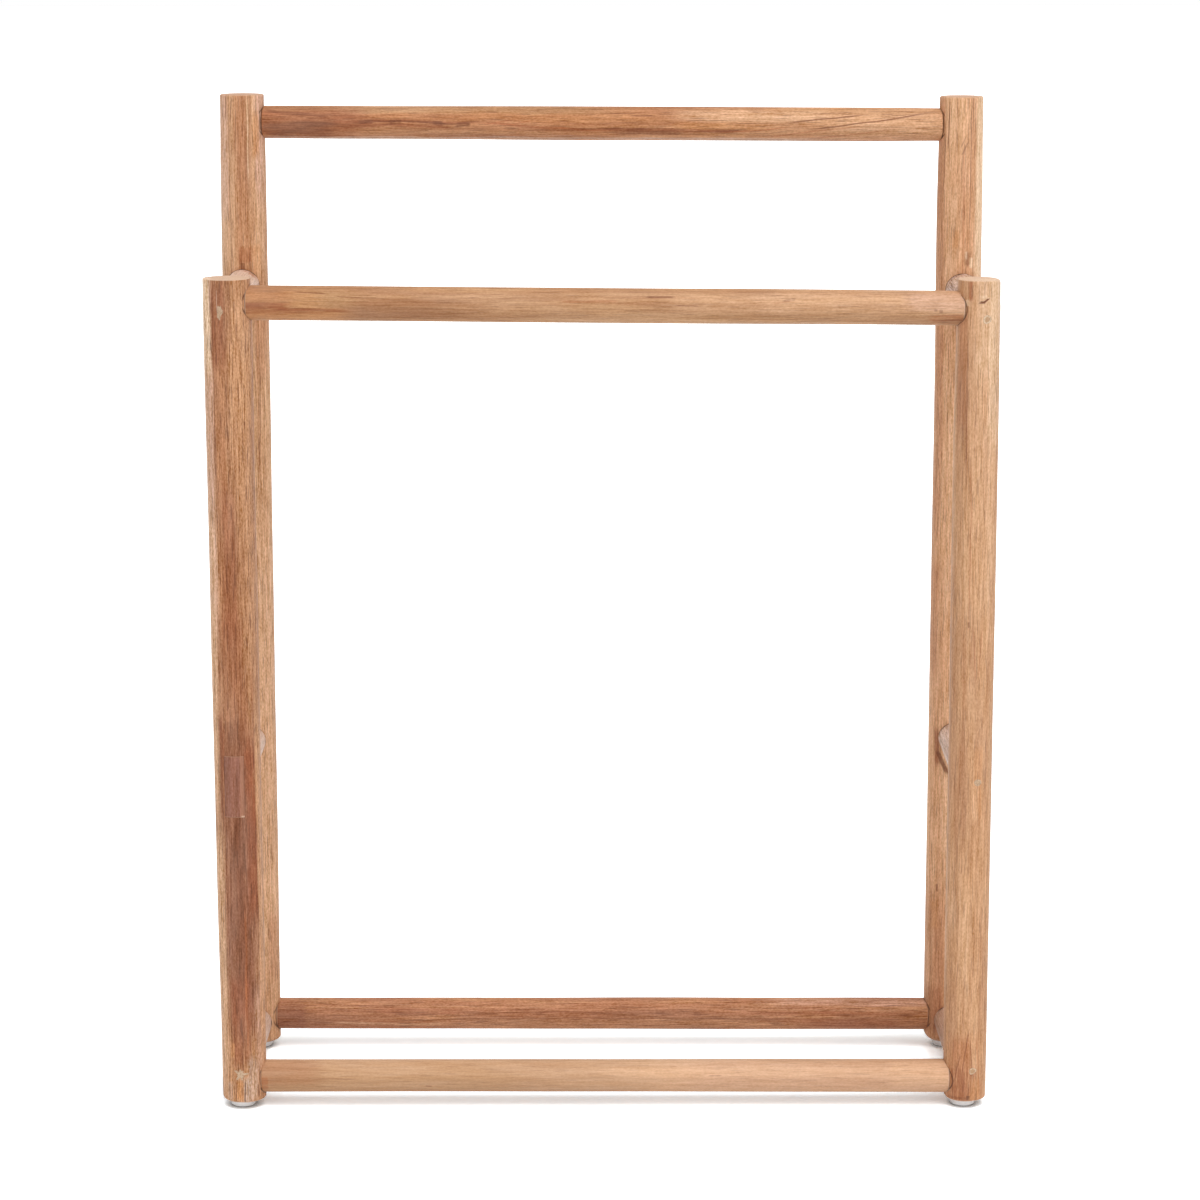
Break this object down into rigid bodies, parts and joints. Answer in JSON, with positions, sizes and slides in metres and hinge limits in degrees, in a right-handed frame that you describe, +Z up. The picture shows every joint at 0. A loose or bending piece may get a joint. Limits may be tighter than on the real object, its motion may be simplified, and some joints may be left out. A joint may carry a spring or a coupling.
{
  "type": "freestanding towel stand",
  "caption": "Low freestanding towel stand of round teak poles: tall back frame, shorter front frame, joined by short side rungs, on plastic glides.",
  "frame": {"origin": "on the floor, under the middle of the stand", "axes": "+X to the right along the rails, +Y from the short front frame to the tall back frame, +Z up"},
  "size_m": [0.615, 0.185, 0.8],
  "materials": {
    "post_wood": "sanded bare teak, oiled, satin",
    "rail_wood": "sanded bare teak, oiled, satin",
    "rung_wood": "sanded bare teak, slightly greyed",
    "patch_wood": "darker teak slip, glued in and sanded flush",
    "wood_filler": "pale filler of glue and sanding dust, matt",
    "glide_plastic": "white nylon",
    "screw_steel": "zinc-plated steel"
  },
  "bodies": {
    "root": {"front_left_post": "post_wood", "front_right_post": "post_wood", "back_left_post": "post_wood", "back_right_post": "post_wood", "top_back_rail": "rail_wood", "top_front_rail": "rail_wood", "bottom_back_rail": "rail_wood", "bottom_front_rail": "rail_wood", "upper_left_rung": "rung_wood", "middle_left_rung": "rung_wood", "lower_left_rung": "rung_wood", "upper_right_rung": "rung_wood", "middle_right_rung": "rung_wood", "lower_right_rung": "rung_wood", "post_patch": "patch_wood", "front_left_glide": "glide_plastic", "front_right_glide": "glide_plastic", "back_left_glide": "glide_plastic", "back_right_glide": "glide_plastic", "front_rung_plugs": "wood_filler", "back_rung_plugs": "wood_filler", "rail_plugs": "wood_filler", "front_rung_screws": "screw_steel", "back_rung_screws": "screw_steel", "rail_screws": "screw_steel", "glide_nails": "screw_steel"}
  },
  "joints": []
}
